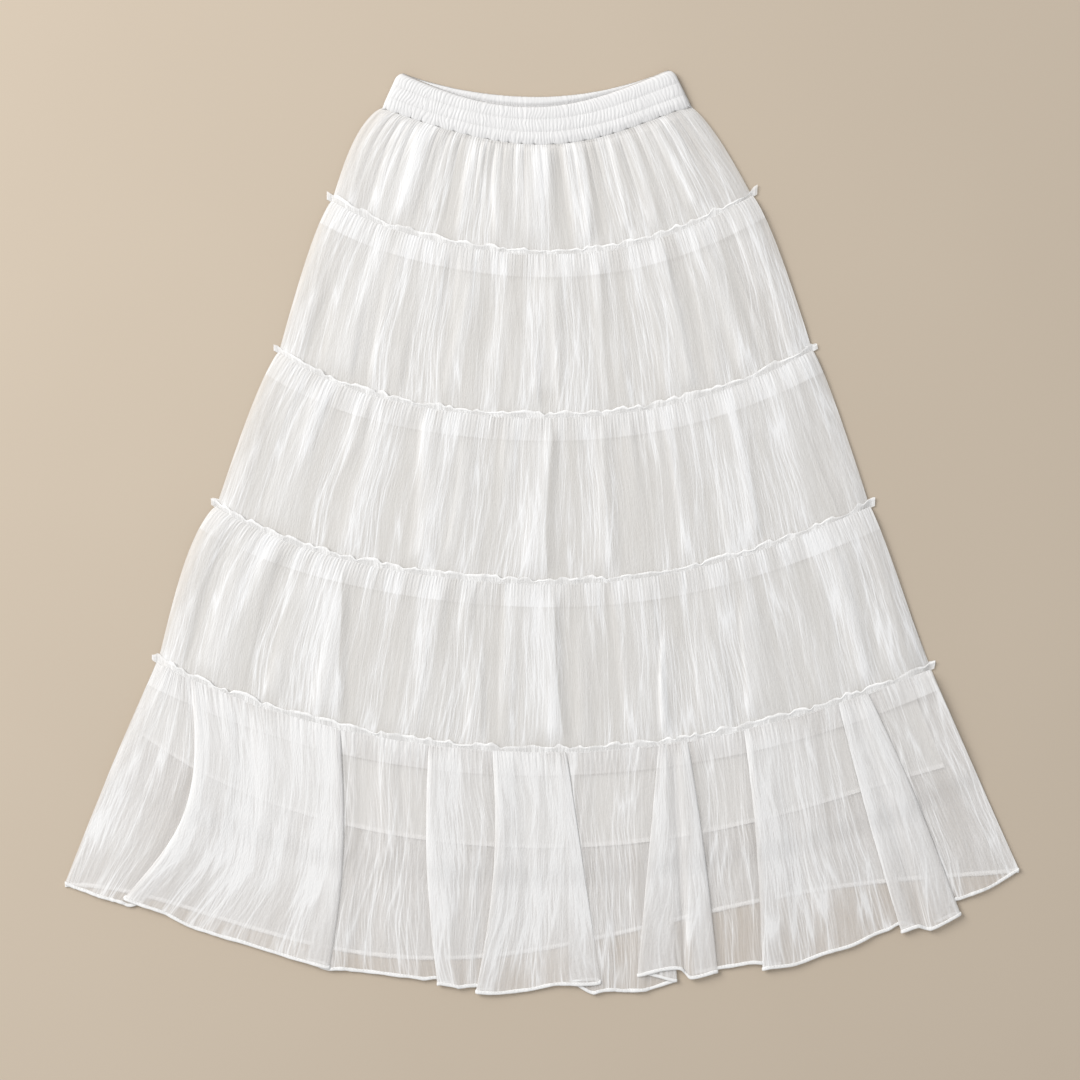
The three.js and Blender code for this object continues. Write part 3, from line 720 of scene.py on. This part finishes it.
def carry_profile(name, centre, down_way, up_way, profile, across, paleness):
    """A closed tube: the profile, pairs of (down, up) distances, is carried along the centre
    line, up to an eighth thicker or thinner from place to place. A point closes each end."""
    count, around = len(centre), len(profile)
    lumps = wandering(across / 4, 0 * across, 640)
    thick = 1 + 0.12 * lumps[:, None, None]
    ring = (centre[:, None, :] + thick * profile[None, :, 0:1] * down_way[:, None, :]
            + thick * profile[None, :, 1:2] * up_way[:, None, :])
    points = np.vstack([ring.reshape(-1, 3), centre[:1], centre[-1:]])
    i = np.arange(count - 1)[:, None] * around
    j = np.arange(around)[None, :]
    nxt = (j + 1) % around
    sides = np.stack([i + j, i + nxt, i + around + nxt, i + around + j], axis=-1).reshape(-1, 4)
    first, last = count * around, count * around + 1
    j, nxt = j[0], nxt[0]
    tail = (count - 1) * around
    start_cap = np.stack([nxt, j, np.full(around, first)], axis=-1)
    end_cap = np.stack([tail + j, tail + nxt, np.full(around, last)], axis=-1)
    faces = sides.tolist() + start_cap.tolist() + end_cap.tolist()
    spread = np.concatenate([np.repeat(across, around), across[:1], across[-1:]])
    wrap = np.concatenate([np.tile(np.linspace(0, 8, around), count), [0, 0]])
    uneven = np.repeat(paleness * (1 + 0.35 * lumps), around)
    uneven = np.concatenate([uneven, [paleness, paleness]])
    return sew(name, points, faces, spread, wrap, uneven)


def oval(half_down, half_up, count):
    """Points round an oval, pairs of (down, up) distances."""
    angle = np.linspace(0, 2 * np.pi, count, endpoint=False)
    return np.stack([half_down * np.cos(angle), half_up * np.sin(angle)], axis=-1)


def hem_ways(edge):
    """Two directions off each point of the edge: down the skirt, and square to that and to the
    edge."""
    along = np.gradient(edge, axis=0)
    along /= np.linalg.norm(along, axis=1)[:, None]
    down_way = np.tile([0.0, -1.0, 0.0], (len(edge), 1))
    return down_way, np.cross(down_way, along)


edge = np.stack([x[-1], y[-1], z[-1] + 0.2], axis=-1)
down_way, up_way = hem_ways(edge)
up_way /= np.linalg.norm(up_way, axis=1)[:, None]
hem_cloth = sheer_cloth(
    "hem cloth", (0.82, 0.815, 0.80, 1), (0.91, 0.905, 0.895, 1), thinnest=0.97)
front_profile = oval(HEM_HALF_HEIGHT, HEM_HALF_THICKNESS, 8)
hem = carry_profile("hem_front_roll", edge, down_way, up_way, front_profile, at, 0.6)
hem.data.materials.append(hem_cloth)
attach(hem, "root")
row = edge + np.array([0, 0.9, HEM_HALF_THICKNESS])
stitch_row("hem_front_stitches", row, in_sight=shown[-1])

s = np.linspace(0, 1, 420)
back_x, back_y = read_line(BACK_LINES[5], s)
edge = np.stack([back_x, back_y, np.full(len(s), 1.0)], axis=-1)
across = s * 930
back_hem = carry_profile("hem_back_roll", edge, *hem_ways(edge), oval(2.2, 0.7, 8), across, 0.9)
back_hem.data.materials.append(sheer_cloth(
    "back hem cloth", (0.93, 0.925, 0.91, 1), (1.0, 0.995, 0.985, 1), thinnest=0.97))
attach(back_hem, "root")


# Waistband
# A strip folded over elastic and stitched through in two rows, which makes three puffed
# channels. The elastic draws it up into fine upright gathers.

BAND_TOPS = {
    "back": (-138, 127, (439, 425, 418, 418, 426, 442)),
    "front": (-138, 127, (439, 419, 408, 409, 422, 442)),
}
BAND_BOTTOMS = {"back": BACK_LINES[0], "front": FRONT_LINES[0]}
BAND_FLOORS = {"back": 0.2, "front": 3.0}  # height of each half's underside
BAND_THICK = {"back": 2.2, "front": 4.4}
BAND_DEPTH, BAND_WIDTH = 38, 300
BAND_OUTER_POINTS = 40
BAND_INNER_POINTS = 12
CHANNELS = 3
RIB_PITCH = 3.6
SCALLOP_PITCH = 14
CORNER_RADIUS = 6.0  # of the turned top corners

band_cloth = sheer_cloth(
    "band cloth", (0.73, 0.725, 0.72, 1), (0.86, 0.855, 0.85, 1), thinnest=1.0, lines=0.3)

for side in ("back", "front"):
    columns = 720 if side == "front" else 420
    s = np.linspace(0, 1, columns)[None, :]
    outer = np.linspace(0, 1, BAND_OUTER_POINTS)[:, None]
    inner = np.linspace(1, 0, BAND_INNER_POINTS + 2)[1:-1, None]
    v = np.vstack([outer, inner])
    is_outer = np.vstack([0 * outer + 1, 0 * inner])
    x, y = fan(BAND_TOPS[side], BAND_BOTTOMS[side], s, v)
    short = np.clip(1 - BAND_DEPTH * v / CORNER_RADIUS, 0, 1)  # 1 at the top, 0 a radius below
    x = x + 2 * (0.5 - s) * CORNER_RADIUS * (1 - np.sqrt(1 - short**2))
    across = BAND_WIDTH * s + 0 * v
    down = BAND_DEPTH * v + 0 * s
    shift = 2.6 * wandering(across / 11, down / 13, 801) + 1.2 * wandering(across / 5, down / 6, 802)
    rib = np.abs(np.sin(np.pi * (across + shift) / RIB_PITCH)) ** 0.8
    rib = rib * (0.7 + 0.3 * wandering(across / 4, down / 12, 803))
    puff = np.abs(np.sin(np.pi * CHANNELS * v)) ** 0.55
    ends = np.clip(1 - np.abs(2 * s - 1) ** 40, 0, 1) ** 0.5
    crown = BAND_THICK[side] * (0.86 + 0.14 * puff) * (0.90 + 0.13 * rib * (0.6 + 0.4 * puff))
    crown = crown * ends
    lip = np.clip(1 - np.abs(2 * v - 1) ** 18, 0, 1) ** 0.5 * (1 - 0.35 * smooth((v - 0.8) / 0.2))
    z = BAND_FLOORS[side] + is_outer * (0.5 + crown * lip) + (1 - is_outer) * 0.25 * rib * lip
    uneven = 0.45 * wandering(across / 21, 0 * across, 502)
    scallop = np.abs(np.sin(np.pi * (across / SCALLOP_PITCH + uneven))) ** 0.6
    y = y - (1.9 * scallop - 0.6 + 0.3 * rib) * smooth((v - 0.75) / 0.25)
    y = y + 0.45 * rib * smooth((0.12 - v) / 0.12)
    if side == "back":  # the strip that shows above the front stands up with the elastic
        in_sight = read_line(BAND_TOPS["back"], s)[1] - read_line(BAND_TOPS["front"], s)[1]
        z = z + 2.4 * is_outer * lip * smooth((in_sight - down - 0.5) / 4)
    at_point = np.arange(x.size).reshape(x.shape)
    quads = grid_quads(np.vstack([at_point, at_point[:1]]))
    points = np.stack([x, y, z], axis=-1)
    # the shirring is drawn paler on the crests of its ribs, most in the middle of each puffed channel: a
    # painted highlight
    band = sew(f"waistband_{side}_shirring", points, quads, across, down, 0.15 + 0.6 * rib * puff)
    band.data.materials.append(band_cloth)
    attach(band, "root")
    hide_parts(f"waistband_{side}")
    for channel in range(1, CHANNELS):
        at_row = round((BAND_OUTER_POINTS - 1) * channel / CHANNELS)
        row = np.stack([x[at_row], y[at_row], z[at_row] + 0.15], axis=-1)[::3]
        stitches = stitch_row(f"waistband_{side}_stitches_{channel}", row, pitch=2.7, length=2.0)


# Surface, light and camera
# A plain pale floor under the skirt, one broad soft light from the upper left and an even sky,
# and a camera straight above.

FLOOR_REACH, FLOOR_LEVEL = 4.0, -0.0004
WINDOW_PLACE, WINDOW_SIZE, WINDOW_POWER = (-2.6, 1.6, 2.5), 2.4, 136
VIEW_WIDTH = 1.0346  # metres across the picture, at the surface
VIEW_CENTRE = (-0.0014, -0.0081)
LENS, SENSOR = 85.0, 36.0

floor_mesh = bpy.data.meshes.new("floor")
corners = [(-1, -1), (1, -1), (1, 1), (-1, 1)]
floor_mesh.from_pydata(
    [(i * FLOOR_REACH, j * FLOOR_REACH, FLOOR_LEVEL) for i, j in corners], [], [(0, 1, 2, 3)])
floor = bpy.data.objects.new("floor", floor_mesh)
bpy.context.scene.collection.objects.link(floor)
plain = Finish("pale floor")
place = plain.add("ShaderNodeTexCoord", {}, {}, output="Object")
mottle = plain.add("ShaderNodeTexNoise", {}, {"Vector": place, "Scale": 3.0, "Detail": 2.0})
floor_shader = plain.add("ShaderNodeBsdfPrincipled", {}, {
    "Base Color": plain.blend(mottle, (0.545, 0.462, 0.365, 1), (0.575, 0.490, 0.388, 1)),
    "Roughness": 0.9, "Specular IOR Level": 0.2})
floor_mesh.materials.append(plain.show(floor_shader))

lamp = bpy.data.lights.new("window", "AREA")
lamp.size, lamp.energy, lamp.color = WINDOW_SIZE, WINDOW_POWER, (1.0, 0.985, 0.97)
window = bpy.data.objects.new("window", lamp)
window.location = WINDOW_PLACE
x, y, z = WINDOW_PLACE  # the lamp is turned towards the middle of the skirt
window.rotation_euler = (math.atan2(math.hypot(x, y), z), 0, math.atan2(x, -y))
bpy.context.scene.collection.objects.link(window)

sky = bpy.data.worlds.new("even sky")
sky.use_nodes = True
sky.node_tree.nodes["Background"].inputs["Color"].default_value = (0.97, 0.98, 1.0, 1)
sky.node_tree.nodes["Background"].inputs["Strength"].default_value = 0.57
bpy.context.scene.world = sky
bpy.context.scene.view_settings.view_transform = "Standard"

camera_data = bpy.data.cameras.new("camera")
camera_data.lens, camera_data.sensor_width = LENS, SENSOR
camera_data.clip_end = 20
camera = bpy.data.objects.new("camera", camera_data)
camera.location = (*VIEW_CENTRE, VIEW_WIDTH * LENS / SENSOR + 0.005)
bpy.context.scene.collection.objects.link(camera)
bpy.context.scene.camera = camera
